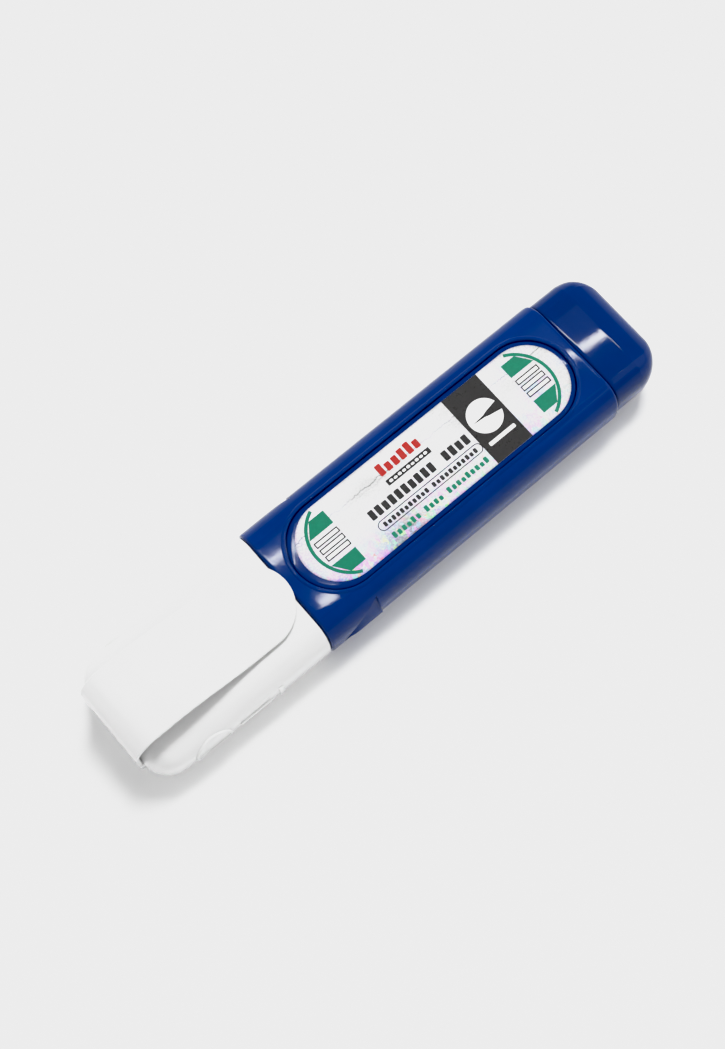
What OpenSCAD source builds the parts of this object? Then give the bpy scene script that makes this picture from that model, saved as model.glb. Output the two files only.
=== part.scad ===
// Squeeze-type correction pen: flat two-shell barrel, metal needle-valve tip and a cap with a wide clip.
// +X runs from the cap to the tail, +Z is up, and the pen lies on its back face at z = 0.

/* [Barrel] */
// Width of the barrel sleeve
barrel_w = 28; // [25:0.5:34]
// Height of the barrel sleeve, without its beads
barrel_h = 15; // [13.5:0.5:19]
// Length of the barrel sleeve
barrel_len = 72.8; // [66:0.2:90]
// Wall of the barrel sleeve
barrel_wall = 1.2; // [0.9:0.1:1.4]
// Width of the flat on the front and back faces
flat_w = 18.6; // [14:0.2:20]
// Squareness of the rounded sides: 2 is an ellipse, and more is squarer
squareness = 2.2; // [1.9:0.1:3]

/* [Windows, panels and labels] */
// Distance from the sleeve's sides to its stadium windows
window_from_side = 4.7; // [4.4:0.1:6]
// Distance from the front rim to the windows
window_from_rim = 3.2; // [2:0.1:5]
// Distance from the rear rim to the windows
window_from_rear = 2.74; // [2:0.02:5]
// Width of the bead round each window
bead_w = 0.8; // [0.4:0.1:1.2]
// How far the bead stands proud
bead_h = 0.2; // [0.1:0.05:0.4]
// How far the squeeze panels lie under the sleeve's face
panel_recess = 0.25; // [0.15:0.05:0.5]
// Thickness of the squeeze panels
panel_t = 1.1; // [0.8:0.1:1.4]
// How far each squeeze panel can be pressed in
press_travel = 1.2; // [0.5:0.1:1.5]
// Distance from the windows' long edges to the label films
label_from_side = 1.1; // [0.6:0.1:3]
// Distance from the windows' front ends to the label films
label_from_front = 1.93; // [1:0.01:3]
// Distance from the windows' rear ends to the label films
label_from_rear = 1.07; // [0.6:0.01:3]
// Thickness of the label film
label_t = 0.12; // [0.08:0.02:0.2]

/* [Side grips] */
// Distance from the front rim to the point of the side grips
grip_from_rim = 3; // [2:0.1:6]
// Length of the wedge-shaped side grips
grip_len = 8.8; // [6:0.2:12]
// Height of a side grip at its rear, as a part of the barrel's height
grip_spread = 0.77; // [0.5:0.01:0.8]
// Depth of the hollow in a side grip
grip_depth = 0.6; // [0.2:0.1:0.7]
// Width of the groove between the hollow's edge and its lug
grip_groove = 0.7; // [0.4:0.1:1]
// How far the lug's ridge stands proud of the side
lug_h = 0.35; // [0.1:0.05:0.6]
// How far the lug's ridge lies below the middle
lug_drop = 0.8; // [0:0.1:1.5]

/* [Reservoir bottle] */
// How far the tail lies inside the sleeve's outline
tail_inset = 0.6; // [0.3:0.05:1]
// Length of the tail
tail_len = 14.2; // [10:0.2:20]
// Wall of the bottle
bottle_wall = 1.0; // [0.8:0.1:1.2]
// Wall of the bottle's neck
neck_wall = 1.1; // [0.9:0.05:1.3]
// Length of neck inside the tip holder
neck_insert = 7.3; // [5:0.1:9]

/* [Cap] */
// Length of the cap in front of the nozzle's end
nose_room = 6.05; // [5:0.05:9]
// How far the cap's rim lies inside the sleeve's outline
cap_inset = 0.2; // [0:0.05:0.6]
// How much narrower the cap is at its nose
cap_taper_w = 0.8; // [0:0.1:2]
// How much lower the cap is at its nose
cap_taper_h = 2.2; // [0:0.1:2.4]
// Wall of the cap at its rim
cap_wall = 1.3; // [1:0.1:1.5]
// Rounding of the nose, seen from above
cap_round = 5.6; // [4:0.1:6]
// How far the raised marks on the cap's sides stand proud
mark_h = 0.25; // [0.1:0.05:0.3]
// Outer diameter of the raised ring mark
mark_ring_d = 8.4; // [5:0.2:9]

/* [Clip] */
// Distance from the cap's sides to the clip's edges
clip_from_side = 5.6; // [5:0.1:9]
// Thickness of the clip
clip_t = 0.8; // [0.7:0.05:1]
// How far the free end reaches over the sleeve
clip_reach = 0.55; // [0:0.05:2]
// Height of the shoulder above the free end
clip_rise = 3.4; // [1:0.1:4]
// Bend radius of the shoulder
clip_bend = 5; // [3:0.5:6]
// Clearance under the free end
clip_gap = 0.2; // [0.15:0.05:0.5]

/* [Nose and valve] */
// Length of the oval spigot that the cap pushes onto
spigot_len = 8; // [6:0.5:10]
// Wall of the tip holder's skirt
holder_wall = 0.75; // [0.6:0.05:1]
// Length of the valve chamber in the tip holder
chamber_len = 6.7; // [5.5:0.1:9]
// Length of the metal tip's stem
stem_len = 4.7; // [3.5:0.1:7]
// Radius of the cylindrical land that the cap's seal grips
land_r = 2.4; // [2.2:0.05:2.6]
// Length of the metal tip that shows
tip_len = 5.8; // [5:0.1:7]
// Radius of the nozzle's outside
nozzle_r = 0.55; // [0.5:0.05:0.7]
// Radius of the nozzle's bore
nozzle_bore_r = 0.35; // [0.3:0.01:0.4]
// How far the needle stands out of the nozzle
needle_out = 0.5; // [0.3:0.05:0.8]
// Mean radius of the valve spring
spring_r = 1.5; // [1.2:0.05:1.8]
// Wire radius of the valve spring
wire_r = 0.16; // [0.1:0.01:0.2]
// Number of turns of the valve spring
spring_turns = 5; // [3:1:7]
// Radius of the mixing ball
ball_r = 2.75; // [2:0.05:3]

/* [Clearances] */
// Radial clearance between parts that nest
fit_gap = 0.1; // [0.05:0.01:0.15]
// Clearance between the tip holder and the cap
holder_gap = 0.4; // [0.2:0.05:0.6]
// Radial clearance between parts that slide in round bores
bore_gap = 0.05; // [0.02:0.01:0.1]
// Clearance round the squeeze panels
window_gap = 0.15; // [0.1:0.01:0.3]
// Gap between the cap's rim and the sleeve
rim_gap = 0.25; // [0.1:0.05:0.5]

/* [Hidden] */

// Hairline between pieces that are welded or pressed face to face
touch = 0.02;

// Height of the pen's middle plane: the beads stand on z = 0
mid_z = barrel_h / 2 + bead_h;

// Outlines that follow the sleeve's
cap_w = barrel_w - 2 * cap_inset;
cap_h = barrel_h - 2 * cap_inset;
tail_w = barrel_w - 2 * tail_inset;
tail_h = barrel_h - 2 * tail_inset;
clip_w = cap_w - 2 * clip_from_side;

// Valve train's own sizes
gasket_t = 0.6;
flange_t = 0.8;
hub_t = 1.4;
holder_len = neck_insert + gasket_t + flange_t + chamber_len + stem_len;

// Places along X, with x = 0 at the middle of the whole length
root_gap = 0.2;
nose_to_end = root_gap + clip_t;
cap_len = spigot_len + bore_gap + holder_len + tip_len + nose_room - rim_gap;
total_len = nose_to_end + cap_len + rim_gap + barrel_len + tail_len;
end_x = -total_len / 2;
nose_x = end_x + nose_to_end;
cap_rim_x = nose_x + cap_len;
rim_x = cap_rim_x + rim_gap;
rear_x = rim_x + barrel_len;
tail_x = rear_x + tail_len;

// Side grips
grip_x = rim_x + grip_from_rim;
grip_top = grip_spread * barrel_h / 2;

// Windows and labels
window_w = barrel_w - 2 * window_from_side;
window_len = barrel_len - window_from_rim - window_from_rear;
window_x = rim_x + window_from_rim + window_len / 2;
label_w = window_w - 2 * label_from_side;
label_len = window_len - label_from_front - label_from_rear;
label_x = window_x + (label_from_front - label_from_rear) / 2;
panel_depth = panel_recess + panel_t;
panel_edge_z = oval_height(barrel_w - 2 * panel_depth, barrel_h - 2 * panel_depth, window_w / 2);
window_floor = panel_edge_z - press_travel - 0.2;

// Mouth between bottle and neck: the mixing ball can't pass it
mouth_r = ball_r * 0.8;

// Oval sections nested inside the sleeve
bore_w = barrel_w - 2 * barrel_wall;
bore_h = barrel_h - 2 * barrel_wall;
bottle_w = bore_w - 4 * fit_gap;
bottle_h = bore_h - 4 * fit_gap;
bottle_front_x = rim_x + 7;
neck_plate_t = 1.2;
shell_front_x = bottle_front_x + neck_plate_t + touch;
cap_bore_w = cap_w - 2 * cap_wall;
cap_bore_h = cap_h - 2 * cap_wall;
spigot_w = cap_bore_w - 2 * fit_gap;
spigot_h = cap_bore_h - 2 * fit_gap;
spigot_x = rim_x - spigot_len;
holder_bore_w = cap_bore_w - 1.2;
holder_bore_h = cap_bore_h - 0.6;
seal_bore_w = cap_bore_w - cap_taper_w - 2.4;
seal_bore_h = cap_bore_h - cap_taper_h - 0.2;

// Valve train, from the collar forward
holder_x = spigot_x - bore_gap;
face_x = holder_x - holder_len;
shoulder_x = holder_x - neck_insert - gasket_t - flange_t;
neck_end_x = shoulder_x + gasket_t + flange_t;
holder_r = holder_bore_h / 2 - holder_gap;
neck_r = holder_r - holder_wall - bore_gap;
neck_bore_r = neck_r - neck_wall;
chamber_r = spring_r + 1.3;
stem_r = 1.6;
chamber_x = face_x + stem_len;
hub_x = neck_end_x - flange_t - hub_t;
seal_t = 0.8;
flange_r = 2.1;
nozzle_x = face_x - tip_len;
head_r = nozzle_bore_r + 0.3;
needle_r = head_r - 0.2;
valve_bore_r = head_r + bore_gap;
seat_x = nozzle_x + 2.2;
seat_len = 0.8;
needle_tail_x = neck_end_x - 0.6;
collar_r = chamber_r - 0.5;
collar_t = 1.2;
collar_room = 1.1;
spring_x = chamber_x + collar_room + collar_t;
spring_len = hub_x - spring_x;

// Cap's inside
cavity_end_x = nose_x + 3.1;
cavity_step_x = face_x + 3.2;
lip_r = land_r + bore_gap;
lip_len = 2;
seal_cup_r = land_r + 1.6;

// Clip
hinge_x = end_x + clip_t / 2;
hinge_z = mid_z + 1;
clip_free_x = rim_x + clip_reach;
clip_free_z = mid_z + barrel_h / 2 + clip_gap + clip_t / 2;
clip_top_z = clip_free_z + clip_rise;

$fn = 64;
SECTION_POINTS = 64;

// One coordinate of an oval section: cosine or sine value v made squarer
function squarer(v) = sign(v) * pow(abs(v), 2 / squareness);

// Width of the rounded part at each side of a section
function side_part(w, h) = max((w - flat_w) / 2, 0.55 * h / 2);

// Outline of a section, w wide and h high: flat above and below, rounded at both sides
function oval(w, h) = [
    for (i = [0:SECTION_POINTS - 1])
        let (
            a = 360 * (i + 0.5) / SECTION_POINTS,
            full = squarer(cos(180 / SECTION_POINTS)),
            part = side_part(w, h)
        )
            [
                sign(cos(a)) * (w / 2 - part) + part * squarer(cos(a)) / full,
                h / 2 * squarer(sin(a)) / full
            ]
];

// Height above the middle of a section at distance y from its middle
function oval_height(w, h, y) =
    let (part = side_part(w, h), u = max(0, (y - w / 2 + part) / part))
        h / 2 * pow(1 - pow(u, squareness), 1 / squareness);

// Half width of a section at height z above or below its middle
function oval_reach(w, h, z) =
    let (part = side_part(w, h), u = min(1, abs(z) * 2 / h))
        w / 2 - part + part * pow(1 - pow(u, squareness), 1 / squareness);

// Prism along X on the pen's middle plane
module along_x(x0, x1) {
    translate([x0, 0, mid_z])
        rotate([90, 0, 90])
            linear_extrude(x1 - x0)
                children();
}

module oval_bar(x0, x1, w, h) {
    along_x(x0, x1) polygon(oval(w, h));
}

// Round rod or bore along X
module rod(x0, x1, r) {
    translate([x0, 0, mid_z])
        rotate([0, 90, 0])
            cylinder(h = x1 - x0, r = r);
}

// Cone frustum along X
module taper(x0, x1, r0, r1) {
    translate([x0, 0, mid_z])
        rotate([0, 90, 0])
            cylinder(h = x1 - x0, r1 = r0, r2 = r1);
}

// Solid through a row of oval rings, each [x, w, h]
module oval_loft(rings) {
    n = SECTION_POINTS;
    last = len(rings) - 1;
    rising = rings[0][0] < rings[last][0];
    points = [
        for (k = [0:last])
            let (r = rings[rising ? k : last - k])
            for (p = oval(r[1], r[2]))
                [r[0], p[0], p[1] + mid_z]
    ];
    sides = [
        for (k = [0:last - 1])
            for (i = [0:n - 1])
                [k * n + i, (k + 1) * n + i, (k + 1) * n + (i + 1) % n, k * n + (i + 1) % n]
    ];
    first_end = [for (i = [0:n - 1]) i];
    last_end = [for (i = [n - 1:-1:0]) last * n + i];
    polyhedron(points, concat(sides, [first_end, last_end]), convexity = 4);
}

// Rings of a bar that ends in a rounded nose at x1: round_w and round_h are the corner sizes
function rounded_rings(x0, x1, w0, h0, w1, h1, round_w, round_h, steps = 8) =
    let (dir = sign(x1 - x0), knee_x = x1 - dir * round_w)
        concat(
            [[x0, w0, h0]],
            [
                for (i = [0:steps])
                    let (a = 84 * i / steps, s = 1 - cos(a))
                        [
                            knee_x + dir * round_w * sin(a) / sin(84),
                            w1 - 2 * round_w * s,
                            h1 - 2 * round_h * s
                        ]
            ]
        );

// Stadium outline swept along Z, its length along X
module stadium(x, len, w, z0, z1) {
    flat = len - w;
    translate([x, 0, z0]) {
        for (side = [-1, 1])
            translate([side * flat / 2, 0, 0])
                cylinder(h = z1 - z0, d = w);
        translate([-flat / 2, -w / 2, 0])
            cube([flat, w, z1 - z0]);
    }
}

// Everything on one face of the pen: side 1 is the front (up), side -1 the back
module on_face(side) {
    if (side > 0)
        children();
    else
        translate([0, 0, mid_z])
            mirror([0, 0, 1])
                translate([0, 0, -mid_z])
                    children();
}

module window(grow, side, floor_z = 0) {
    on_face(side)
        stadium(window_x, window_len + 2 * grow, window_w + 2 * grow, mid_z + floor_z, mid_z + barrel_h);
}

// Oval shell between two sections, limited to a stadium on one face
module face_shell(x, len, w, depth, thickness, side) {
    outer_w = barrel_w - 2 * depth;
    outer_h = barrel_h - 2 * depth;
    on_face(side)
        intersection() {
            difference() {
                oval_bar(x - len, x + len, outer_w, outer_h);
                oval_bar(x - len - 1, x + len + 1, outer_w - 2 * thickness, outer_h - 2 * thickness);
            }
            stadium(x, len, w, mid_z, mid_z + barrel_h);
        }
}

module window_bead(side) {
    intersection() {
        oval_bar(rim_x, rear_x, barrel_w + 2 * bead_h, barrel_h + 2 * bead_h);
        window(bead_w, side);
    }
}

// Side view of a grip at a part t of its length: height above the ridge or depth below it
function grip_up(t) = (grip_top + lug_drop) * pow(t, 0.8);
function grip_down(t) = (grip_top - lug_drop) * pow(t, 0.8);

// Wedge-shaped hollows in both sides, their points towards the cap
module grip_hollows() {
    outline = concat(
        [for (i = [0:10]) [grip_x + grip_len * i / 10, grip_up(i / 10) - lug_drop]],
        [for (i = [10:-1:1]) [grip_x + grip_len * i / 10, -grip_down(i / 10) - lug_drop]]
    );
    difference() {
        translate([0, barrel_w, mid_z])
            rotate([90, 0, 0])
                linear_extrude(2 * barrel_w)
                    polygon(outline);
        oval_bar(rim_x - 1, rear_x, barrel_w - 2 * grip_depth, barrel_h - 2 * grip_depth);
    }
}

// Section of a lug at a part t of the grip's length: root, flanks and ridge, as [y, z]
function lug_section(t) =
    let (
        up = grip_up(t) - grip_groove - lug_drop,
        down = grip_groove - grip_down(t) - lug_drop,
        y_up = oval_reach(barrel_w - 2 * grip_depth, barrel_h - 2 * grip_depth, up),
        y_down = oval_reach(barrel_w - 2 * grip_depth, barrel_h - 2 * grip_depth, down),
        ridge = barrel_w / 2 + lug_h - (lug_h + grip_depth) * 0.7 * pow(max(0, 1 - t / 0.4), 2)
    )
        [[y_down - 0.3, down], [y_down, down], [ridge, -lug_drop], [y_up, up], [y_up - 0.3, up]];

// Ridged lug that fills a hollow and rises to the rear
module thumb_lug() {
    stations = [0.16, 0.24, 0.32, 0.4, 0.6, 0.8, 1];
    n = 5;
    last = len(stations) - 1;
    points = [
        for (k = [0:last])
            for (p = lug_section(stations[k]))
                [grip_x + grip_len * stations[k] + (k == last ? 0.3 : 0), p[0], mid_z + p[1]]
    ];
    sides = [
        for (k = [0:last - 1])
            for (i = [0:n - 1])
                let (a = k * n + i, b = a + n, d = k * n + (i + 1) % n, c = d + n)
                    each [[a, b, c], [a, c, d]]
    ];
    polyhedron(points, concat(sides, [[0, 1, 2, 3, 4], [for (i = [n - 1:-1:0]) last * n + i]]));
}

module barrel_sleeve() {
    color("#0b3f8f")
        difference() {
            union() {
                difference() {
                    oval_bar(rim_x, rear_x, barrel_w, barrel_h);
                    grip_hollows();
                }
                for (side = [-1, 1])
                    window_bead(side);
                thumb_lug();
                mirror([0, 1, 0])
                    thumb_lug();
            }
            oval_bar(rim_x - 1, rear_x + 1, bore_w, bore_h);
            for (side = [-1, 1])
                window(0, side);
        }
}

module reservoir_bottle() {
    tail_wall = bottle_wall + 0.2;
    color("#15306f")
        difference() {
            union() {
                oval_bar(shell_front_x, rear_x + 1, bottle_w, bottle_h);
                oval_loft(rounded_rings(rear_x + fit_gap, tail_x, tail_w, tail_h, tail_w, tail_h,
                                        tail_h * 0.42, tail_h * 0.42));
            }
            oval_bar(shell_front_x - 1, rear_x + 2,
                     bottle_w - 2 * bottle_wall, bottle_h - 2 * bottle_wall);
            oval_loft(rounded_rings(rear_x + 1.5, tail_x - tail_wall,
                                    tail_w - 2 * tail_wall, tail_h - 2 * tail_wall,
                                    tail_w - 2 * tail_wall, tail_h - 2 * tail_wall,
                                    tail_h * 0.36, tail_h * 0.36, 4));
            for (side = [-1, 1])
                window(0, side, window_floor);
        }
}

// Front wall of the bottle, welded on, with the neck that the tip holder seats on
module bottle_neck() {
    color("#15306f")
        difference() {
            union() {
                oval_bar(bottle_front_x, bottle_front_x + neck_plate_t, bottle_w, bottle_h);
                rod(neck_end_x, bottle_front_x + 0.5, neck_r);
            }
            rod(neck_end_x - 1, bottle_front_x - 0.2, neck_bore_r);
            rod(neck_end_x - 1, bottle_front_x + 2, mouth_r);
            for (side = [-1, 1])
                window(0, side, window_floor);
        }
}

// Oval plug in the sleeve's mouth, with the spigot that the cap grips
module front_collar() {
    color("#0d3a80")
        difference() {
            union() {
                oval_bar(rim_x, bottle_front_x - fit_gap, bore_w - 2 * fit_gap, bore_h - 2 * fit_gap);
                oval_bar(spigot_x, rim_x + 1, spigot_w, spigot_h);
            }
            rod(spigot_x - 1, bottle_front_x, neck_r + fit_gap);
            for (side = [-1, 1])
                window(window_gap, side, window_floor);
        }
}

module tip_holder() {
    land_x = face_x + lip_len + 0.7;
    cone_x = shoulder_x - 1.2;
    color("#f2f2ee")
        difference() {
            union() {
                rod(cone_x, holder_x, holder_r);
                taper(land_x, cone_x, land_r, holder_r);
                rod(face_x, land_x, land_r);
            }
            rod(shoulder_x, holder_x + 1, neck_r + bore_gap);
            rod(chamber_x, shoulder_x + 1, chamber_r);
            rod(face_x - 1, chamber_x + 1, stem_r + 0.02);
            rod(face_x - 1, face_x + seal_t, flange_r - 0.1);
        }
}

module washer(x0, x1, r_out, r_in) {
    difference() {
        rod(x0, x1, r_out);
        rod(x0 - 1, x1 + 1, r_in);
    }
}

module neck_gasket() {
    color("#303030") washer(shoulder_x, shoulder_x + gasket_t, neck_r, chamber_r + fit_gap);
}

module tip_seal() {
    color("#303030") washer(face_x + 0.02, face_x + seal_t - 0.02, flange_r - 0.12, stem_r + 0.01);
}

// Perforated plug that the spring pushes against and the needle's tail slides in
module spring_seat() {
    color("#e8e8e4")
        difference() {
            union() {
                rod(neck_end_x - flange_t, neck_end_x, neck_r);
                rod(hub_x, neck_end_x - 0.1, chamber_r - fit_gap);
            }
            rod(hub_x - 1, neck_end_x + 1, needle_r + bore_gap);
            for (a = [45:90:315])
                translate([0, 1.75 * cos(a), 1.75 * sin(a)])
                    rod(hub_x - 1, neck_end_x + 1, 0.55);
        }
}

module metal_tip() {
    shank_x = face_x - 0.6;
    color("#c9ccd0")
        difference() {
            union() {
                rod(face_x - 0.1, chamber_x, stem_r);
                rod(shank_x, face_x, flange_r);
                taper(nozzle_x + 0.8, shank_x, nozzle_r + 0.1, 1.7);
                rod(nozzle_x, nozzle_x + 0.9, nozzle_r);
            }
            rod(nozzle_x - 1, chamber_x + 1, nozzle_bore_r);
            taper(seat_x, seat_x + seat_len, nozzle_bore_r, valve_bore_r);
            rod(seat_x + seat_len, chamber_x + 1, valve_bore_r);
        }
}

// Stepped wire: a pin in the nozzle, a conical valve head and a guided tail
module valve_needle() {
    color("#b9bcc2") {
        rod(nozzle_x - needle_out, seat_x, nozzle_bore_r - bore_gap);
        taper(seat_x, seat_x + seat_len, nozzle_bore_r - bore_gap, head_r);
        rod(seat_x + seat_len, seat_x + seat_len + 0.6, head_r);
        rod(seat_x + seat_len, needle_tail_x, needle_r);
    }
}

// Fluted guide, fixed on the needle, that the spring pushes forward
module needle_collar() {
    color("#f0efe6")
        difference() {
            rod(spring_x - collar_t, spring_x, collar_r);
            rod(spring_x - collar_t - 1, spring_x + 1, needle_r);
            for (a = [0:60:300])
                translate([0, collar_r * cos(a), collar_r * sin(a)])
                    rod(spring_x - collar_t - 1, spring_x + 1, 0.5);
        }
}

module valve_spring() {
    sides = 8;
    per_turn = 18;
    rings = spring_turns * per_turn;
    rise = (spring_len - 2 * touch - 2 * wire_r) / rings;
    points = [
        for (k = [0:rings])
            for (i = [0:sides - 1])
                let (a = 360 * k / per_turn, b = 360 * i / sides, r = spring_r + wire_r * cos(b))
                    [spring_x + touch + wire_r + k * rise + wire_r * sin(b), r * cos(a), mid_z + r * sin(a)]
    ];
    faces = [
        for (k = [0:rings - 1])
            for (i = [0:sides - 1])
                let (p = k * sides + i, q = k * sides + (i + 1) % sides)
                    [p, q, q + sides, p + sides]
    ];
    start_face = [for (i = [sides - 1:-1:0]) i];
    end_face = [for (i = [0:sides - 1]) rings * sides + i];
    color("#a8abb0") polyhedron(points, concat(faces, [start_face, end_face]), convexity = 10);
}

module mixing_ball() {
    color("#d0d2d6")
        translate([window_x + window_len / 4, 0, mid_z])
            sphere(r = ball_r);
}

module squeeze_panel(side) {
    color("#0b3f8f")
        face_shell(window_x, window_len - 2 * window_gap, window_w - 2 * window_gap,
                   panel_recess, panel_t, side);
}

module label(side) {
    color("#e4e6ea")
        face_shell(label_x, label_len, label_w, panel_recess - label_t, label_t, side);
}

// Block on the nose that the clip's root sits in
module clip_root_pad() {
    pad_z = mid_z - 2.2;
    difference() {
        translate([end_x, -clip_w / 2, pad_z])
            cube([nose_to_end + 4, clip_w, hinge_z - clip_t / 4 - pad_z]);
        translate([hinge_x, 0, hinge_z])
            rotate([90, 0, 0])
                cylinder(h = clip_w + 2, r = clip_t / 2 + bore_gap, center = true);
    }
}

// Plain raised marks that follow the cap's sides: a ring, a long bar and a short upright bar
module side_marks() {
    mark_w = cap_w - cap_taper_w / 2 + 2 * mark_h;
    mark_z = cap_h - cap_taper_h / 2 + 2 * mark_h;
    ring_x = nose_x + 12;
    bar_x = ring_x + mark_ring_d / 2 + 2;
    intersection() {
        oval_bar(nose_x + 6, cap_rim_x - 6, mark_w, mark_z);
        for (side = [-1, 1])
            translate([ring_x, side * cap_w / 2, mid_z]) {
                rotate([90, 0, 0])
                    difference() {
                        cylinder(h = 3, d = mark_ring_d, center = true);
                        cylinder(h = 4, d = mark_ring_d - 1.4, center = true);
                    }
                translate([bar_x - ring_x, -1.5, -0.6])
                    cube([7.2, 3, 1.2]);
                translate([bar_x - ring_x + 9, -1.5, -2.4])
                    cube([1.2, 3, 4.8]);
            }
    }
}

module cap_shell() {
    nose_w = cap_w - cap_taper_w;
    nose_h = cap_h - cap_taper_h;
    color("#f4f4f4")
        difference() {
            union() {
                oval_loft(rounded_rings(cap_rim_x, nose_x, cap_w, cap_h, nose_w, nose_h,
                                        cap_round, nose_h * 0.4));
                clip_root_pad();
                side_marks();
            }
            oval_bar(spigot_x - 0.5, cap_rim_x + 1, cap_bore_w, cap_bore_h);
            oval_bar(cavity_step_x, spigot_x, holder_bore_w, holder_bore_h);
            oval_bar(cavity_end_x, cavity_step_x + 0.5, seal_bore_w, seal_bore_h);
            rod(cavity_end_x - 1.5, cavity_end_x + 1, 2);
        }
}

// Soft cup inside the cap that closes round the holder's land
module cap_inner_seal() {
    color("#dfe3e6")
        difference() {
            union() {
                rod(cavity_end_x + touch, face_x + lip_len, seal_cup_r);
                rod(cavity_end_x - 1.4, cavity_end_x + 0.5, 2 - bore_gap);
            }
            rod(cavity_end_x + 1, face_x + 0.2, lip_r + 0.45);
            rod(face_x, face_x + lip_len + 1, lip_r);
        }
}

// Middle line of the clip's side view: free end, rising blade, bend and root
function clip_line() =
    let (
        bend_x = hinge_x + clip_bend,
        blade = [
            for (i = [0:20])
                let (t = i / 20, u = min(max((t - 0.32) / 0.55, 0), 1), s = u * u * (3 - 2 * u))
                    [clip_free_x + (bend_x - clip_free_x) * t, clip_free_z + clip_rise * s]
        ],
        bend = [
            for (i = [1:10])
                let (a = 9 * i)
                    [bend_x - clip_bend * sin(a), clip_top_z - clip_bend * (1 - cos(a))]
        ]
    )
        concat(blade, bend, [[hinge_x, hinge_z]]);

// A polyline moved sideways by d
function moved_line(line, d) = [
    for (i = [0:len(line) - 1])
        let (
            a = line[max(i - 1, 0)],
            b = line[min(i + 1, len(line) - 1)],
            step = (b - a) / norm(b - a)
        )
            line[i] + d * [-step[1], step[0]]
];

module pocket_clip() {
    line = clip_line();
    outer = moved_line(line, -clip_t / 2);
    inner = moved_line(line, clip_t / 2);
    color("#f6f6f6")
        intersection() {
            translate([0, clip_w / 2, 0])
                rotate([90, 0, 0])
                    linear_extrude(clip_w) {
                        polygon(concat(outer, [for (i = [len(inner) - 1:-1:0]) inner[i]]));
                        translate([hinge_x, hinge_z])
                            circle(r = clip_t / 2);
                    }
            union() {
                translate([clip_free_x - clip_w / 2, 0, 0])
                    cylinder(h = clip_top_z + clip_t, d = clip_w, $fn = 128);
                translate([end_x - 1, -clip_w / 2, 0])
                    cube([clip_free_x - clip_w / 2 - end_x + 1, clip_w, clip_top_z + clip_t]);
            }
        }
}

barrel_sleeve();
reservoir_bottle();
bottle_neck();
front_collar();
tip_holder();
neck_gasket();
spring_seat();
metal_tip();
tip_seal();
valve_needle();
needle_collar();
valve_spring();
mixing_ball();
squeeze_panel(1);  // front_squeeze_panel
label(1);  // front_label
squeeze_panel(-1);  // back_squeeze_panel
label(-1);  // back_label
cap_shell();
cap_inner_seal();
pocket_clip();
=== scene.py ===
"""Squeeze-type correction pen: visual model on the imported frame. Metres, +X from cap to tail, +Z up."""

import math

import bmesh
import bpy
from mathutils import Matrix, Vector
from mathutils.geometry import tessellate_polygon


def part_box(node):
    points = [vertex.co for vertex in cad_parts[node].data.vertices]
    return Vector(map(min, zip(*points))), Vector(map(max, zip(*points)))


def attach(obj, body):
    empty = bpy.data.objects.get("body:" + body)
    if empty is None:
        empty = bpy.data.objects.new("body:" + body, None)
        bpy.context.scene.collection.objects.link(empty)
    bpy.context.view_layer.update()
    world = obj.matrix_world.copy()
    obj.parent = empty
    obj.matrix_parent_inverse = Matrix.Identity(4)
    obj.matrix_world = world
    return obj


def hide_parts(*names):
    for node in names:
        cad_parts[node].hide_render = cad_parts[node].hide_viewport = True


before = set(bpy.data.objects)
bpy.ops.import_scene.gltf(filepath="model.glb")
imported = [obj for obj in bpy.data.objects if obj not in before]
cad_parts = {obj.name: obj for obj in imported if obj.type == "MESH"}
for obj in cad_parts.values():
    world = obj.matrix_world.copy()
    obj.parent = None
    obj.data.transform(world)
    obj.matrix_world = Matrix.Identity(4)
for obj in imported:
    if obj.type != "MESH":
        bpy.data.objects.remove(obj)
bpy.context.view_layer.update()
MM = 0.001

# ---------------------------------------------------------------- sizes, in mm, from the CAD nodes
def edge(node, axis, side):
    """One face of a CAD node's box, in mm."""
    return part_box(node)[side][axis] / MM


RIM_X = edge("barrel_sleeve", 0, 0)
REAR_X = edge("barrel_sleeve", 0, 1)
BEAD_H = 0.2
MID = edge("barrel_sleeve", 2, 1) / 2
BARREL_H = 2 * (MID - BEAD_H)
BARREL_W = 28.0
WALL = 1.2
FLAT_W = 18.6               # width of the flat faces above and below
SQUARE = 2.2                # exponent of the rounded sides
WIN_HALF = 9.3              # half the window's width
WIN_X0 = RIM_X + 3.2
WIN_X1 = REAR_X - 2.74
TAIL_X = edge("reservoir_bottle", 0, 1)
TAIL_W, TAIL_H = 26.8, 13.8
CAP_RIM = edge("cap_shell", 0, 1)
NOSE_X = edge("cap_shell", 0, 0) + 1.0
CAP_W, CAP_H = 27.6, 14.6
NOSE_ROUND = 5.6            # length of the cap's rounded nose
NOSE_ROUND_W, NOSE_ROUND_H = 11.2, 9.9      # what it takes off the width and the height
CAP_TAPER_W, CAP_TAPER_H = 0.8, 2.2         # rim to nose
ROUND_END = math.radians(84)                # where a rounded end gives way to its flat cap
LABEL_X0, LABEL_X1 = edge("front_label", 0, 0), edge("front_label", 0, 1)
LABEL_HALF = edge("front_label", 1, 1)
FILM_Z = edge("front_label", 2, 1)
CLIP_HALF = edge("pocket_clip", 1, 1)
CLIP_TIP = edge("pocket_clip", 0, 1)
CLIP_END = edge("pocket_clip", 0, 0)


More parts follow.
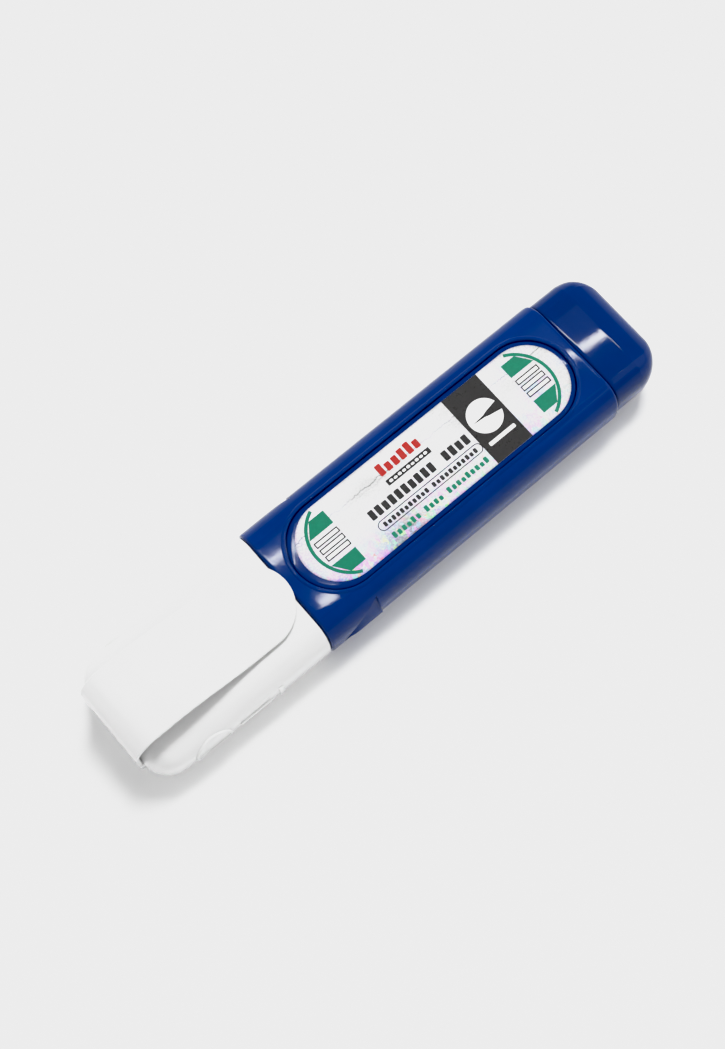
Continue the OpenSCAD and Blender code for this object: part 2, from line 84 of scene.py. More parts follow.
# ---------------------------------------------------------------- materials
def mat(name, color, rough=0.4, metallic=0.0, coat=0.0, spec=0.5):
    m = bpy.data.materials.new(name)
    m.use_nodes = True
    p = m.node_tree.nodes["Principled BSDF"]
    p.inputs["Base Color"].default_value = (*color, 1)
    p.inputs["Roughness"].default_value = rough
    p.inputs["Metallic"].default_value = metallic
    p.inputs["Coat Weight"].default_value = coat
    p.inputs["Coat Roughness"].default_value = 0.04
    p.inputs["Specular IOR Level"].default_value = spec
    m.diffuse_color = (*color, 1)
    return m


def node(m, kind, **values):
    n = m.node_tree.nodes.new(kind)
    for k, v in values.items():
        if hasattr(n, k):
            setattr(n, k, v)
        else:
            n.inputs[k.replace("_", " ")].default_value = v
    return n


def link(m, a, b):
    m.node_tree.links.new(a, b)


def coords(m, scale=(1, 1, 1)):
    """Object coordinates in mm, stretched."""
    tc = node(m, "ShaderNodeTexCoord")
    mp = node(m, "ShaderNodeMapping")
    mp.inputs["Scale"].default_value = [s / MM for s in scale]
    link(m, tc.outputs["Object"], mp.inputs["Vector"])
    return mp.outputs["Vector"]


def ramp(m, fac, stops):
    r = node(m, "ShaderNodeValToRGB")
    e = r.color_ramp.elements
    while len(e) < len(stops):
        e.new(0.5)
    for el, (at, c) in zip(e, stops):
        el.position = at
        el.color = (*c, 1) if len(c) == 3 else c
    link(m, fac, r.inputs["Fac"])
    return r.outputs["Color"]


def mapped(m, value, a, b, c, d):
    n = node(m, "ShaderNodeMapRange")
    for k, v in zip(("From Min", "From Max", "To Min", "To Max"), (a, b, c, d)):
        n.inputs[k].default_value = v
    link(m, value, n.inputs["Value"])
    return n.outputs["Result"]


def math2(m, operation, a, b):
    """One maths node on two sockets or numbers."""
    n = node(m, "ShaderNodeMath", operation=operation)
    for socket, value in zip(n.inputs, (a, b)):
        if isinstance(value, (int, float)):
            socket.default_value = value
        else:
            link(m, value, socket)
    return n.outputs["Value"]


def moulded(name, color, rough, coat=0.0, mottle=0.06, peel=0.02, scuff=0.05, spec=0.5):
    """Injection-moulded plastic: flow mottle in the colour, orange peel, scuffs in the gloss."""
    m = mat(name, color, rough, coat=coat, spec=spec)
    p = m.node_tree.nodes["Principled BSDF"]
    v = coords(m)
    flow = node(m, "ShaderNodeTexNoise", Scale=0.11, Detail=4.0, Roughness=0.55)
    link(m, v, flow.inputs["Vector"])
    dark = [c * (1 - mottle) for c in color]
    light = [min(1, c * (1 + mottle)) for c in color]
    link(m, ramp(m, flow.outputs["Fac"], [(0.3, dark), (0.7, light)]), p.inputs["Base Color"])
    # long fine handling scuffs along the pen, and blotches of finger grease
    vs = coords(m, (0.05, 1.6, 1.6))
    fine = node(m, "ShaderNodeTexNoise", Scale=1.0, Detail=6.0, Roughness=0.7)
    link(m, vs, fine.inputs["Vector"])
    blot = node(m, "ShaderNodeTexNoise", Scale=0.23, Detail=2.0, Roughness=0.5)
    link(m, v, blot.inputs["Vector"])
    add = node(m, "ShaderNodeMath", operation="MULTIPLY")
    link(m, fine.outputs["Fac"], add.inputs[0])
    link(m, blot.outputs["Fac"], add.inputs[1])
    link(m, mapped(m, add.outputs["Value"], 0.15, 0.45, max(0.02, rough - scuff), rough + scuff),
         p.inputs["Roughness"])
    skin = node(m, "ShaderNodeTexNoise", Scale=0.9, Detail=3.0, Roughness=0.5)
    link(m, v, skin.inputs["Vector"])
    bump = node(m, "ShaderNodeBump", Strength=peel, Distance=0.00004)
    link(m, skin.outputs["Fac"], bump.inputs["Height"])
    link(m, bump.outputs["Normal"], p.inputs["Normal"])
    return m


def turned_metal(name, color, rough, lines=9.0, depth=0.05):
    """Turned or drawn metal with fine rings across X."""
    m = mat(name, color, rough, metallic=1.0)
    p = m.node_tree.nodes["Principled BSDF"]
    v = coords(m, (lines, 0.05, 0.05))
    n = node(m, "ShaderNodeTexNoise", Scale=1.0, Detail=5.0, Roughness=0.65)
    link(m, v, n.inputs["Vector"])
    link(m, mapped(m, n.outputs["Fac"], 0.3, 0.7, rough * 0.6, rough * 1.5), p.inputs["Roughness"])
    link(m, ramp(m, n.outputs["Fac"], [(0.25, [c * 0.86 for c in color]), (0.8, color)]),
         p.inputs["Base Color"])
    bump = node(m, "ShaderNodeBump", Strength=depth, Distance=0.00003)
    link(m, n.outputs["Fac"], bump.inputs["Height"])
    link(m, bump.outputs["Normal"], p.inputs["Normal"])
    return m


def film(name):
    """Silver diffraction film: silver-white with creases, lilac cells, rainbow flecks at one edge."""
    m = mat(name, (0.7, 0.7, 0.7), 0.3, metallic=0.15)
    p = m.node_tree.nodes["Principled BSDF"]
    v = coords(m)
    pos = node(m, "ShaderNodeSeparateXYZ")
    link(m, v, pos.inputs["Vector"])
    x, y = pos.outputs["X"], pos.outputs["Y"]
    cloud = node(m, "ShaderNodeTexNoise", Scale=0.13, Detail=3.0, Roughness=0.6)
    link(m, coords(m, (0.45, 1, 1)), cloud.inputs["Vector"])
    # colour cells: pale everywhere there is a cloud, strong in small flecks along the edge at -Y
    cells = node(m, "ShaderNodeTexVoronoi", feature="F1", Scale=1.05, Randomness=1.0)
    link(m, coords(m, (1, 0.55, 1)), cells.inputs["Vector"])
    hue = node(m, "ShaderNodeSeparateColor", mode="HSV")
    link(m, cells.outputs["Color"], hue.inputs["Color"])
    pale = mapped(m, cloud.outputs["Fac"], 0.42, 0.56, 0.0, 0.46)
    ends = math2(m, "MAXIMUM", mapped(m, x, -13.0, -17.0, 0.0, 1.0), mapped(m, x, 31.0, 38.0, 0.0, 1.0))
    pale = math2(m, "MULTIPLY", pale, math2(m, "MAXIMUM", ends, mapped(m, y, -1.0, -6.0, 0.25, 1.0)))
    fleck = node(m, "ShaderNodeTexNoise", Scale=1.1, Detail=3.0, Roughness=0.6)
    link(m, v, fleck.inputs["Vector"])
    gate = math2(m, "MULTIPLY", mapped(m, fleck.outputs["Fac"], 0.47, 0.57, 0.0, 1.0),
                 math2(m, "MULTIPLY", mapped(m, y, -3.6, -6.6, 0.0, 1.0), mapped(m, x, 26.0, 2.0, 0.45, 1.0)))
    tint = node(m, "ShaderNodeCombineColor", mode="HSV")
    link(m, mapped(m, hue.outputs["Red"], 0.0, 1.0, 0.56, 0.80), tint.inputs["Red"])
    link(m, pale, tint.inputs["Green"])
    # silver: light, with grey clouds, a painted dark reflection (a darker patch near the cap, towards the -Y
    # edge) and thin creases along the pen
    # painted reflection: the silver is darkened by position where the film would mirror something dark
    from_painted_reflection = math2(m, "ABSOLUTE", math2(m, "ADD", x, -0.5), 0)
    painted_reflection = math2(m, "MULTIPLY", mapped(m, from_painted_reflection, 7.0, 2.0, 0.0, 1.0),
                  mapped(m, y, -3.0, -6.5, 0.0, 1.0))
    grey = mapped(m, cloud.outputs["Fac"], 0.36, 0.58, 0.44, 0.70)
    # take the painted dark reflection off the silver
    grey = math2(m, "SUBTRACT", grey, math2(m, "MULTIPLY", painted_reflection, 0.30))
    crease = node(m, "ShaderNodeTexNoise", Scale=1.0, Detail=5.0, Roughness=0.7)
    link(m, coords(m, (0.45, 0.2, 1)), crease.inputs["Vector"])
    wander = math2(m, "ADD", y, mapped(m, crease.outputs["Fac"], 0.3, 0.7, -0.35, 0.35))
    dark = 0
    for at, wide, deep in ((4.35, 0.22, 0.34), (3.7, 0.12, 0.16), (-2.0, 0.12, 0.10)):
        d = math2(m, "ABSOLUTE", math2(m, "SUBTRACT", wander, at), 0)
        dark = math2(m, "ADD", dark, mapped(m, d, 0.0, wide, deep, 0.0))
    link(m, math2(m, "SUBTRACT", grey, dark), tint.inputs["Blue"])
    vivid = node(m, "ShaderNodeCombineColor", mode="HSV")
    link(m, hue.outputs["Red"], vivid.inputs["Red"])
    vivid.inputs["Green"].default_value = 0.62
    vivid.inputs["Blue"].default_value = 0.72
    mix = node(m, "ShaderNodeMix", data_type="RGBA")
    link(m, gate, mix.inputs[0])
    link(m, tint.outputs["Color"], mix.inputs[6])
    link(m, vivid.outputs["Color"], mix.inputs[7])
    link(m, mix.outputs[2], p.inputs["Base Color"])
    fine = node(m, "ShaderNodeTexNoise", Scale=2.4, Detail=2.0, Roughness=0.5)
    link(m, v, fine.inputs["Vector"])
    link(m, mapped(m, fine.outputs["Fac"], 0.3, 0.7, 0.18, 0.36), p.inputs["Roughness"])
    bump = node(m, "ShaderNodeBump", Strength=0.03, Distance=0.00003)
    link(m, fine.outputs["Fac"], bump.inputs["Height"])
    link(m, bump.outputs["Normal"], p.inputs["Normal"])
    return m


def ink(name, color, rough=0.35, spec=0.5):
    """Screen-printed ink: slight density variation, and a grain in its gloss."""
    m = mat(name, color, rough, spec=spec)
    p = m.node_tree.nodes["Principled BSDF"]
    v = coords(m)
    n = node(m, "ShaderNodeTexNoise", Scale=1.3, Detail=5.0, Roughness=0.7)
    link(m, v, n.inputs["Vector"])
    link(m, ramp(m, n.outputs["Fac"], [(0.25, [c * 0.9 for c in color]),
                                       (0.75, [min(1, c * 1.08 + 0.004) for c in color])]),
         p.inputs["Base Color"])
    link(m, mapped(m, n.outputs["Fac"], 0.3, 0.7, rough - 0.06, rough + 0.08), p.inputs["Roughness"])
    return m


M_BLUE = moulded("blue_plastic", (0.0006, 0.0232, 0.131), 0.036, mottle=0.07, scuff=0.014, spec=0.10)
M_NAVY = moulded("navy_plastic", (0.0008, 0.0195, 0.110), 0.028, mottle=0.07, scuff=0.008, spec=0.11)
M_PANEL = moulded("panel_plastic", (0.0006, 0.020, 0.118), 0.06, scuff=0.02, spec=0.12)
M_COLLAR = moulded("collar_plastic", (0.001, 0.016, 0.105), 0.22)
M_CAP = moulded("cap_plastic", (0.725, 0.725, 0.725), 0.22, coat=0.15, mottle=0.012, peel=0.03)
M_WHITE = moulded("white_plastic", (0.80, 0.80, 0.78), 0.42, mottle=0.02, peel=0.05)
M_NATURAL = moulded("natural_plastic", (0.74, 0.73, 0.68), 0.45, mottle=0.03, peel=0.05)
M_RUBBER = moulded("black_rubber", (0.018, 0.018, 0.019), 0.62, mottle=0.2, peel=0.25, scuff=0.1)
M_SEAL = moulded("soft_seal", (0.70, 0.73, 0.75), 0.50, mottle=0.03, peel=0.08)
M_TIP = turned_metal("tip_metal", (0.74, 0.75, 0.77), 0.14)
M_STEEL = turned_metal("needle_steel", (0.58, 0.59, 0.61), 0.22)
M_BALL = turned_metal("ball_steel", (0.66, 0.67, 0.69), 0.12, lines=0.6, depth=0.01)
M_FILM = film("label_film")
M_GREEN = ink("ink_green", (0.0, 0.150, 0.085), spec=0.2)
M_BLACK = ink("ink_black", (0.010, 0.009, 0.009), 0.30, spec=0.2)
M_RED = ink("ink_red", (0.33, 0.012, 0.008), spec=0.2)
M_PAPER = ink("ink_white", (0.84, 0.84, 0.84))


# ---------------------------------------------------------------- mesh helpers
def new_object(name, verts, faces, material, body, stands_for=(), smooth=40):
    me = bpy.data.meshes.new(name)
    me.from_pydata([(x * MM, y * MM, z * MM) for x, y, z in verts], [], faces)
    bm = bmesh.new()
    bm.from_mesh(me)
    bmesh.ops.remove_doubles(bm, verts=bm.verts, dist=2e-7)
    bmesh.ops.dissolve_degenerate(bm, edges=bm.edges, dist=1e-8)
    bmesh.ops.recalc_face_normals(bm, faces=bm.faces)
    bm.to_mesh(me)
    bm.free()
    me.materials.append(material)
    o = bpy.data.objects.new(name, me)
    bpy.context.scene.collection.objects.link(o)
    me.shade_smooth()
    if smooth:
        for e in me.edges:
            e.use_edge_sharp = False
        me.set_sharp_from_angle(angle=math.radians(smooth))
    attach(o, body)
    if stands_for:
        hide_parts(*stands_for)
    return o


class Build:
    """Vertices and faces gathered for one object, in mm."""

    def __init__(self):
        self.v, self.f = [], []

    def add(self, verts, faces):
        k = len(self.v)
        self.v += [tuple(p) for p in verts]
        self.f += [[i + k for i in f] for f in faces]

    def grid(self, rows, closed=False):
        """Quads through rows of points; closed joins the last column to the first."""
        n = len(rows[0])
        k = len(self.v)
        for r in rows:
            self.v += [tuple(p) for p in r]
        for i in range(len(rows) - 1):
            for j in range(n if closed else n - 1):
                j2 = (j + 1) % n
                self.f.append([k + i * n + j, k + (i + 1) * n + j, k + (i + 1) * n + j2, k + i * n + j2])

    def cap(self, ring):
        k = len(self.v)
        self.v += [tuple(p) for p in ring]
        self.f.append(list(range(k, k + len(ring))))


def powered(v, e):
    return math.copysign(abs(v) ** e, v)


def side_part(w, h):
    return max((w - FLAT_W) / 2, 0.55 * h / 2)


CREASE = 0.032


def crease(u):
    """Part of the height lost just past the edge of the flat, at a part u of the rounded side."""
    s = math.sqrt(u * u + 0.0009) - 0.03
    return CREASE * s / (s + 0.09)


def section(w, h, steps=22, flats=6, crisp=0.0):
    """Closed loop (y, z about the middle): flat above and below, rounded at both sides."""
    part = side_part(w, h)
    e = 2 / SQUARE
    angles = [math.pi / 2 * i / steps for i in range(steps)]
    angles += [math.pi / 2 * (1 - k) for k in (0.03, 0.02, 0.012, 0.006, 0.002, 0.0)]
    quarter = []
    for a in angles:
        u = powered(max(0.0, math.cos(a)), e)
        quarter.append((w / 2 - part + part * u, h / 2 * powered(math.sin(a), e) * (1 - crisp * crease(u))))
    flat = w / 2 - part
    top = [(flat * (1 - 2 * i / flats), h / 2) for i in range(1, flats)]
    right_top = quarter
    left_top = [(-y, z) for y, z in reversed(quarter)]
    upper = right_top + top + left_top
    lower = [(-y, -z) for y, z in upper[1:-1]]
    return upper + lower


def ring(x, w, h, crisp=0.0):
    return [(x, y, MID + z) for y, z in section(w, h, crisp=crisp)]


def surface_z(w, h, y):
    """Height over the middle of a section at y."""
    part = side_part(w, h)
    u = min(1.0, max(0.0, (abs(y) - w / 2 + part) / part))
    return h / 2 * (1 - u**SQUARE) ** (1 / SQUARE) * (1 - crease(u))


def rounded(d, r):
    """How far a surface draws in at a distance d from an edge rounded to r."""
    return 0.0 if d >= r else r - math.sqrt(max(0.0, r * r - (r - d) ** 2))


def stadium_half(x, grow=0.0):
    """Half the window's width at x, or 0 outside it; grow widens the outline all round."""
    c0, c1 = WIN_X0 + WIN_HALF, WIN_X1 - WIN_HALF
    d = max(c0 - x, x - c1, 0.0)
    radius = WIN_HALF + grow
    return math.sqrt(radius**2 - d * d) if d < radius else 0.0


def stations(x0, x1, step, dense=()):
    """x stations from x0 to x1, closer in the dense stretches [(from, to, step)]."""
    xs, x = [x0], x0
    while x < x1 - 1e-9:
        s = step
        for a, b, t in dense:
            if a - 1e-9 <= x < b:
                s = min(s, t)
        x = min(x + s, x1)
        xs.append(x)
    return xs


def window_stations():
    n = 22
    c0, c1 = WIN_X0 + WIN_HALF, WIN_X1 - WIN_HALF
    left = [c0 - WIN_HALF * math.cos(math.pi / 2 * i / n) for i in range(n + 1)]
    right = [c1 + WIN_HALF * math.sin(math.pi / 2 * i / n) for i in range(n + 1)]
    return left, right


def half_path(w, h, inner, flats=8, steps=26, cut=False):
    """Open path (y, z) from (inner, top) over the +Y side to (inner, bottom); cut lets a wide opening
    cut into the rounded side."""
    part = side_part(w, h)
    flat = w / 2 - part
    e = 2 / SQUARE
    pts = [(inner + (flat - inner) * (i / flats), h / 2) for i in range(flats)] if inner < flat else \
          [(flat, h / 2)] * flats
    for i in range(2 * steps + 1):
        a = math.pi / 2 * (1 - i / steps)
        pts.append((flat + part * powered(math.cos(a), e) if abs(a) < math.pi / 2 - 1e-9 else flat,
                    h / 2 * powered(math.sin(a), e)))
    pts += [(y, -z) for y, z in reversed(pts[:flats])]
    if cut and inner > flat:
        lip = h / 2 * (1 - ((inner - flat) / part) ** SQUARE) ** (1 / SQUARE)
        pts = [(max(y, inner), max(-lip, min(lip, z))) for y, z in pts]
    return pts


# ---------------------------------------------------------------- sleeve
GRIP_X = RIM_X + 3.0
GRIP_LEN, GRIP_DEPTH, GROOVE, LUG_H, LUG_DROP = 8.8, 0.6, 0.7, 0.35, 0.8
GRIP_TOP = 0.77 * BARREL_H / 2
SHOULDER_Z = 6.25


def reach(w, h, z):
    """Half width of a section at height z over its middle."""
    part = side_part(w, h)
    u = min(1.0, abs(z) * 2 / h)
    return w / 2 - part + part * (1 - u**SQUARE) ** (1 / SQUARE)


def smooth(v):
    v = min(1.0, max(0.0, v))
    return v * v * (3 - 2 * v)


def grip_edges(t):
    """Upper and lower edge of the side grip at a part t of its length."""
    k = min(1.0, max(0.0, t)) ** 0.8
    return (GRIP_TOP + LUG_DROP) * k - LUG_DROP, -(GRIP_TOP - LUG_DROP) * k - LUG_DROP


def side_heights(x):
    """Heights of the columns down the sleeve's side, close to the grip's edges."""
    t = (x - GRIP_X) / GRIP_LEN
    up, low = grip_edges(t)
    e, g = 0.11, GROOVE * min(1.0, max(0.12, (up - low) / 2.2))
    # (height, steps down to the next key)
    keys = [(SHOULDER_Z, 5), (up + e, 2), (up - e, 2), (up - g + 0.06, 2), (up - g - 0.06, 4),
            (-LUG_DROP + 0.12, 2), (-LUG_DROP - 0.12, 4), (low + g + 0.06, 2), (low + g - 0.06, 2),
            (low + e, 2), (low - e, 5), (-SHOULDER_Z, 0)]
    zs = [k[0] for k in keys]
    for i in range(1, len(zs) - 1):
        zs[i] = min(zs[i], zs[i - 1] - 0.03)
    out = []
    for i, (z, (_, n)) in enumerate(zip(zs, keys)):
        out += [z + (zs[i + 1] - z) * j / n for j in range(n)]
    return out + [zs[-1]]


def grip_side(x, z):
    """Half width of the sleeve at x and height z, with the hollow and the lug in it."""
    plain = reach(BARREL_W, BARREL_H, z)
    t = (x - GRIP_X) / GRIP_LEN
    if t <= 0 or t > 1.06:
        return plain
    up, low = grip_edges(t)
    floor = reach(BARREL_W - 2 * GRIP_DEPTH, BARREL_H - 2 * GRIP_DEPTH, z)
    g = GROOVE
    lu, ll = up - g, low + g
    lug = 0.0
    if t >= 0.1 and lu > ll and ll < z < lu:
        ridge = BARREL_W / 2 + LUG_H - (LUG_H + GRIP_DEPTH) * 0.7 * max(0.0, 1 - t / 0.4) ** 2
        side = lu if z > -LUG_DROP else ll
        root = reach(BARREL_W - 2 * GRIP_DEPTH, BARREL_H - 2 * GRIP_DEPTH, side)
        k = min(1.0, abs(z + LUG_DROP) / max(0.05, abs(side + LUG_DROP)))
        k = math.sqrt(k * k + 0.004) - 0.06
        lug = ridge + (root - ridge) * k
        lug -= 0.0 if t < 1.02 else (t - 1.02) * 40
    inside = smooth((min(up - z, z - low) + 0.11) / 0.22) * smooth((1 - t) * GRIP_LEN / 0.2)
    return max(plain + (max(floor, lug) - plain) * inside, lug)


def sleeve_path(x, draw, f):
    """Open section path from the window's edge above, over the +Y side, to the window's edge below."""
    w, h = BARREL_W - 2 * draw, BARREL_H - 2 * draw
    part = side_part(w, h)
    flat = w / 2 - part
    start = min(f, flat)
    pts = [(start + (flat - start) * i / 8, h / 2) for i in range(8)]
    n = 20
    a1 = math.asin((SHOULDER_Z / 7.5) ** (SQUARE / 2))
    for i in range(n):
        a = math.pi / 2 + (a1 - math.pi / 2) * (i / n) ** 1.7
        u = powered(max(0.0, math.cos(a)), 2 / SQUARE)
        pts.append((flat + part * u, h / 2 * math.sin(a) ** (2 / SQUARE) * (1 - crease(u))))
    for z in side_heights(x):
        v = z * h / BARREL_H
        y = reach(w, h, v) + (grip_side(x, z) - reach(BARREL_W, BARREL_H, z))
        u = (reach(w, h, v) - flat) / part
        pts.append((y, v * (1 - crease(u))))
    return pts + [(y, -z) for y, z in reversed(pts[:8 + n])]


def bore_path(f, count):
    """Inner path with as many points as the outer one."""
    w, h = BARREL_W - 2 * WALL, BARREL_H - 2 * WALL
    part = side_part(w, h)
    flat = w / 2 - part
    n = 8
    start = min(f, flat)
    pts = [(start + (flat - start) * i / n, h / 2) for i in range(n)]
    m = count - 2 * n
    for i in range(m):
        a = math.pi / 2 - math.pi * i / (m - 1)
        pts.append((flat + part * powered(max(0.0, math.cos(a)), 2 / SQUARE),
                    h / 2 * powered(math.sin(a), 2 / SQUARE)))
    return pts + [(y, -z) for y, z in reversed(pts[:n])]


def sleeve():
    b = Build()
    left, right = window_stations()
    rear = GRIP_X + GRIP_LEN
    xs = set(left + right + stations(RIM_X, left[0], 0.16) + stations(left[0], rear - 0.5, 0.24)
             + [rear - 0.3, rear - 0.2, rear - 0.12, rear - 0.05, rear, rear + 0.1, rear + 0.2, rear + 0.28,
                rear + 0.36, rear + 0.46]
             + stations(rear + 0.6, right[0], 1.1) + stations(right[-1], REAR_X, 0.16))
    ordered = sorted(xs)
    xs = [ordered[0]]
    for x in ordered[1:]:
        if x - xs[-1] > 0.02 or x == REAR_X:
            xs.append(x)
    outer, inner = [], []
    for x in xs:
        draw = max(rounded(x - RIM_X, 0.55), rounded(REAR_X - x, 0.75))
        f = stadium_half(x)
        path = sleeve_path(x, draw, f)
        outer.append([(x, y, MID + z) for y, z in path])
        inner.append([(x, y, MID + z) for y, z in bore_path(f, len(path))])
    for s in (1, -1):
        flip = lambda rows: [[(x, s * y, z) for x, y, z in r] for r in rows]
        b.grid(flip(outer))
        b.grid(flip(inner))
        b.grid(flip([outer[0], inner[0]]))
        b.grid(flip([outer[-1], inner[-1]]))
        for j in (0, -1):
            rows = [(outer[i][j], inner[i][j]) for i, x in enumerate(xs) if stadium_half(x) > 0 or (
                0 < i < len(xs) - 1 and (stadium_half(xs[i - 1]) > 0 or stadium_half(xs[i + 1]) > 0))]
            b.grid(flip([[a, c] for a, c in rows]))
    # the bead round each window, with the window's inner wall
    profile = [(1.02, -0.05), (0.86, 0.0), (0.76, 0.06), (0.66, 0.125), (0.54, 0.175), (0.42, 0.198),
               (0.30, 0.19), (0.18, 0.155), (0.08, 0.09), (0.02, 0.01), (-0.005, -0.12), (-0.005, -1.2)]
    c0, c1 = WIN_X0 + WIN_HALF, WIN_X1 - WIN_HALF
    path = []
    for i in range(61):
        a = math.pi / 2 + math.pi * i / 60
        path.append((c0, 0, math.cos(a), math.sin(a)))
    path += [(c0 + (c1 - c0) * i / 40, 0, 0, -1) for i in range(1, 40)]
    for i in range(61):
        a = -math.pi / 2 + math.pi * i / 60
        path.append((c1, 0, math.cos(a), math.sin(a)))
    path += [(c1 - (c1 - c0) * i / 40, 0, 0, 1) for i in range(1, 40)]
    for s in (1, -1):
        rows = []
        for cx, cy, nx, ny in path:
            row = []
            for u, v in profile:
                x, y = cx + nx * (WIN_HALF + u), cy + ny * (WIN_HALF + u)
                row.append((x, y, MID + s * (surface_z(BARREL_W, BARREL_H, y) + v)))
            rows.append(row)
        b.grid(rows + [rows[0]])
    return new_object("sleeve_shell", b.v, b.f, M_BLUE, "barrel", ["barrel_sleeve"], 38)


# ---------------------------------------------------------------- bottle and tail
def bottle():
    b = Build()
    rings = []
    x0 = REAR_X + 0.12
    for d in (0.0, 0.06, 0.14, 0.26, 0.4):
        k = rounded(d, 0.4)
        rings.append(ring(x0 + d, TAIL_W - 2 * k, TAIL_H - 2 * k, 1.0))
    end = TAIL_X - 0.6
    rx, rw, rh = 6.8, 7.2, 5.3       # length of the rounded end, and what it takes off each side
    knee = end - rx
    for x in stations(x0 + 0.8, knee - 0.2, 0.8):
        rings.append(ring(x, TAIL_W, TAIL_H, 1.0))
    for i in range(34):
        a = ROUND_END * (i / 33) ** 1.35
        k = 1 - math.cos(a)
        s = math.sin(a) / math.sin(ROUND_END)
        rings.append(ring(knee + rx * s, TAIL_W - 2 * rw * k,
                          (TAIL_H - 2 * rh * k) * (1 - 1.2 * crease(s)), 1.0))
    b.grid(rings, closed=True)
    last = rings[-1]
    for t in (0.75, 0.4, 0.12):
        nxt = [(x, y * t, MID + (z - MID) * t) for x, y, z in rings[-1]]
        b.grid([last, nxt], closed=True)
        last = nxt
    b.cap(last)
    # step face at the sleeve's rear lip, and the walls that run forward inside the sleeve
    w, h, t = 25.2, 12.2, 1.0        # width, height and wall inside the sleeve
    front = edge("reservoir_bottle", 0, 0)
    b.grid([rings[0], ring(x0, w, h)], closed=True)
    left, right = window_stations()
    xs = stations(front, REAR_X + 0.12, 0.8) + left + right
    xs = sorted(set(round(x, 4) for x in xs if x >= front))
    hole = [stadium_half(x, 0.3) for x in xs]

    def wall(inset):
        return [[(x, y, MID + z) for y, z in half_path(w - inset, h - inset, k, 4, 10, True)]
                for x, k in zip(xs, hole)]
    outer, inner = wall(0), wall(2 * t)
    for s in (1, -1):
        flip = lambda rows: [[(x, s * y, z) for x, y, z in r] for r in rows]
        b.grid(flip(outer))
        b.grid(flip(inner))
        b.grid(flip([outer[0], inner[0]]))
        for j in (0, -1):
            b.grid(flip([[outer[i][j], inner[i][j]] for i in range(len(xs)) if hole[i] > 0]))
    return new_object("bottle_shell", b.v, b.f, M_NAVY, "barrel", ["reservoir_bottle"], 35)


# ---------------------------------------------------------------- cap
def cap():
    b = Build()
    knee = NOSE_X + NOSE_ROUND
    nose_w, nose_h = CAP_W - CAP_TAPER_W, CAP_H - CAP_TAPER_H
    rings = []
    for i in range(25, -1, -1):
        a = ROUND_END * i / 25
        k = 1 - math.cos(a)
        rings.append(ring(knee - NOSE_ROUND * math.sin(a) / math.sin(ROUND_END),
                          nose_w - NOSE_ROUND_W * k, nose_h - NOSE_ROUND_H * k))
    n = 40
    for i in range(1, n):
        t = i / n
        x = knee + (CAP_RIM - 0.6 - knee) * t
        s = (x - knee) / (CAP_RIM - knee)
        rings.append(ring(x, nose_w + CAP_TAPER_W * s, nose_h + CAP_TAPER_H * s))
    for d in (0.6, 0.4, 0.25, 0.13, 0.05, 0.0):
        k = rounded(d, 0.35)
        rings.append(ring(CAP_RIM - d, CAP_W - 2 * k, CAP_H - 2 * k))
    inside = [(CAP_RIM, 25.3, 12.3), (CAP_RIM - 0.25, 25.0, 12.0), (-31.5, 25.0, 12.0), (-31.5, 23.8, 11.4),
              (-47.9, 23.8, 11.4), (-47.95, 21.8, 9.6), (-59.6, 21.8, 9.6), (-59.9, 21.2, 9.0)]
    rings += [ring(x, w, h) for x, w, h in inside]
    b.grid(rings, closed=True)
    for start in (rings[0], rings[-1]):
        last = start
        for t in (0.75, 0.4, 0.12):
            nxt = [(x, y * t, MID + (z - MID) * t) for x, y, z in start]
            b.grid([last, nxt], closed=True)
            last = nxt
        b.cap(last)
    return new_object("cap_body", b.v, b.f, M_CAP, "cap", ["cap_shell"], 35)


def cap_side(x, z, proud):
    """y of the cap's side at x and height z over the middle."""
    knee = NOSE_X + NOSE_ROUND
    s = min(1.0, max(0.0, (x - knee) / (CAP_RIM - knee)))
    w, h = CAP_W - CAP_TAPER_W * (1 - s), CAP_H - CAP_TAPER_H * (1 - s)
    part = side_part(w, h)
    v = min(1.0, abs(z) / (h / 2))
    return w / 2 - part + part * (1 - v**SQUARE) ** (1 / SQUARE) + proud


def strip_on_side(b, centre, normal, half, side, closed, height=0.36):
    """A raised rib on the cap's side along a line of (x, z), with rounded flanks."""
    profile = [(1.0, -0.12), (0.92, 0.1), (0.78, 0.86), (0.6, 1.0), (0.0, 1.0), (-0.6, 1.0), (-0.78, 0.86),
               (-0.92, 0.1), (-1.0, -0.12)]
    rows = []
    for (x, z), (nx, nz) in zip(centre, normal):
        row = []
        for u, v in profile:
            px, pz = x + nx * u * half, z + nz * u * half
            row.append((px, side * cap_side(px, pz, v * height), MID + pz))
        rows.append(row)
    b.grid(rows + ([rows[0]] if closed else []))
    if not closed:
        b.cap(rows[0])
        b.cap(rows[-1])


def cap_marks():
    b = Build()
    cx = NOSE_X + 12
    for side in (1, -1):
        n = 56
        ang = [2 * math.pi * i / n for i in range(n)]
        strip_on_side(b, [(cx + 3.85 * math.cos(a), 3.85 * math.sin(a)) for a in ang],
                      [(math.cos(a), math.sin(a)) for a in ang], 0.35, side, True)
        bx = cx + 6.2
        line = [(bx + 7.2 * i / 8, 0.0) for i in range(9)]
        strip_on_side(b, line, [(0, 1)] * 9, 0.6, side, False)
        line = [(bx + 9.6, -2.4 + 4.8 * i / 8) for i in range(9)]
        strip_on_side(b, line, [(1, 0)] * 9, 0.6, side, False)
    return new_object("cap_side_marks", b.v, b.f, M_CAP, "cap", (), 40)


